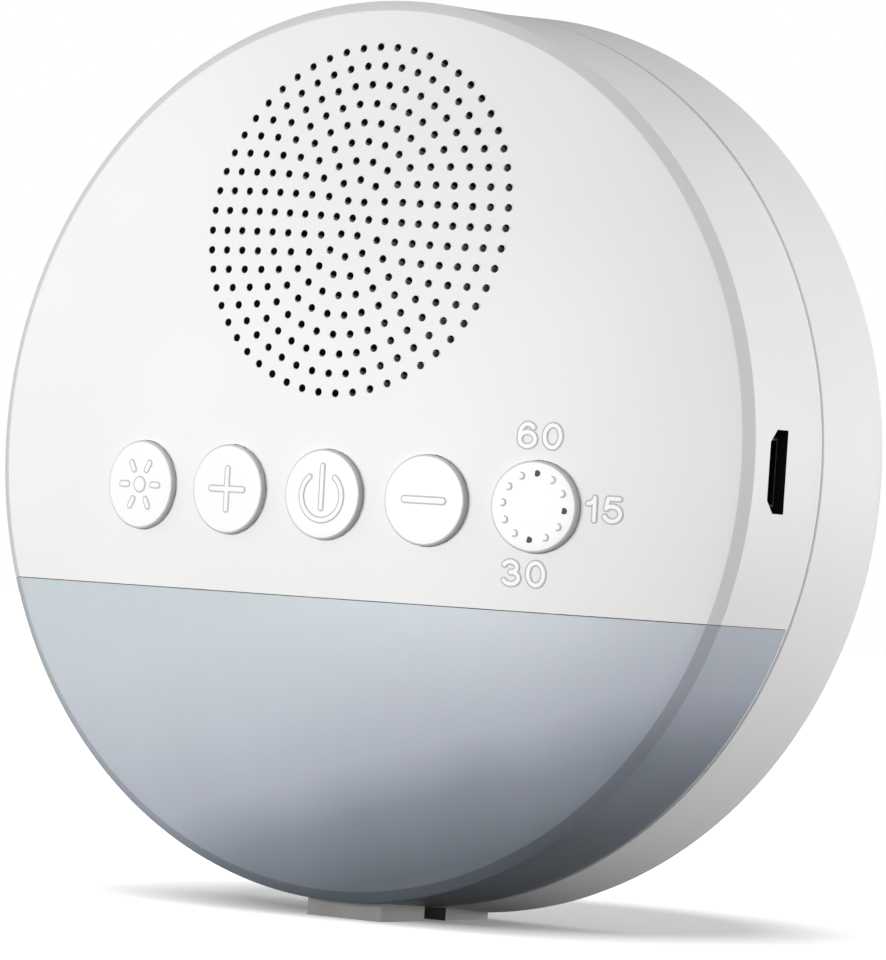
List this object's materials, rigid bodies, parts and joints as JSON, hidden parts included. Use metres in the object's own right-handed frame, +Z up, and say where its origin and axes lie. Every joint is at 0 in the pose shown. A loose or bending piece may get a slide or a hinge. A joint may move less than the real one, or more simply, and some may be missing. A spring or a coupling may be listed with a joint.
{
  "type": "white noise sound machine",
  "caption": "Round white bedside sound machine with a speaker grille, a row of push buttons and a translucent night lamp along its lower edge.",
  "frame": {"origin": "centre of the bounding box at the level of the surface that the feet stand on", "axes": "+Z up, the domed front with the grille and buttons faces -Y, +X to the right seen from the front"},
  "size_m": [0.1048, 0.0398, 0.1054],
  "materials": {
    "case_plastic": "fine matt white moulded plastic",
    "cap_plastic": "fine matt white moulded plastic",
    "diffuser_plastic": "cloudy translucent plastic",
    "tray_plastic": "white moulded plastic",
    "foot_rubber": "soft grey rubber",
    "cloth": "black woven cloth",
    "foam": "black foam",
    "stamped_steel": "zinc plated",
    "ferrite": "dark ferrite",
    "copper": "enamelled copper winding",
    "cone_paper": "black pressed paper",
    "spider_cloth": "resin-treated cloth",
    "switch_plastic": "black plastic",
    "board": "green solder mask",
    "lamp_board_mask": "white solder mask",
    "led_resin": "clear resin over phosphor",
    "can_metal": "bright can",
    "connector_nylon": "natural nylon",
    "socket_steel": "dark plated steel",
    "cell_foil": "laminated foil pouch",
    "wire": "insulated wire"
  },
  "bodies": {
    "case": {"front_housing": "case_plastic", "lamp_diffuser": "diffuser_plastic", "lamp_reflector": "tray_plastic", "rear_housing": "case_plastic", "front_foot": "foot_rubber", "rear_foot": "foot_rubber", "grille_cloth": "cloth", "speaker_gasket": "foam", "speaker_frame": "stamped_steel", "speaker_top_plate": "stamped_steel", "speaker_magnet": "ferrite", "speaker_yoke": "stamped_steel", "speaker_surround": "foam", "speaker_spider": "spider_cloth", "speaker_terminals": "board", "switch_bodies": "switch_plastic", "main_board": "board", "lamp_board": "lamp_board_mask", "lamp_leds": "led_resin", "controller_chip": "switch_plastic", "memory_chip": "switch_plastic", "amplifier_chip": "switch_plastic", "crystal": "can_metal", "battery_connector": "connector_nylon", "capacitors": "can_metal", "usb_shell": "socket_steel", "usb_tongue": "switch_plastic", "battery_cell": "cell_foil", "battery_tape": "foam", "board_screws": "stamped_steel", "speaker_screws": "stamped_steel", "lamp_board_screws": "stamped_steel", "housing_screws": "stamped_steel", "speaker_leads": "wire", "lamp_leads": "wire", "battery_leads": "wire"},
    "light_key": {"light_button": "cap_plastic", "light_plunger": "switch_plastic"},
    "plus_key": {"plus_button": "cap_plastic", "plus_plunger": "switch_plastic"},
    "power_key": {"power_button": "cap_plastic", "power_plunger": "switch_plastic"},
    "minus_key": {"minus_button": "cap_plastic", "minus_plunger": "switch_plastic"},
    "timer_key": {"timer_button": "cap_plastic", "timer_plunger": "switch_plastic"},
    "cone": {"speaker_cone": "cone_paper", "speaker_dust_cap": "cone_paper", "voice_coil": "copper"}
  },
  "joints": [
    {"name": "light_press", "type": "slide", "parent": "case", "child": "light_key", "axis": [0, 1, 0], "range_m": [0, 0.0005], "stiffness_N_per_m": 400},
    {"name": "plus_press", "type": "slide", "parent": "case", "child": "plus_key", "axis": [0, 1, 0], "range_m": [0, 0.0005], "stiffness_N_per_m": 400},
    {"name": "power_press", "type": "slide", "parent": "case", "child": "power_key", "axis": [0, 1, 0], "range_m": [0, 0.0005], "stiffness_N_per_m": 400},
    {"name": "minus_press", "type": "slide", "parent": "case", "child": "minus_key", "axis": [0, 1, 0], "range_m": [0, 0.0005], "stiffness_N_per_m": 400},
    {"name": "timer_press", "type": "slide", "parent": "case", "child": "timer_key", "axis": [0, 1, 0], "range_m": [0, 0.0005], "stiffness_N_per_m": 400},
    {"name": "cone_travel", "type": "slide", "parent": "case", "child": "cone", "axis": [0, 1, 0], "range_m": [-0.0008, 0.0008], "stiffness_N_per_m": 1200}
  ]
}
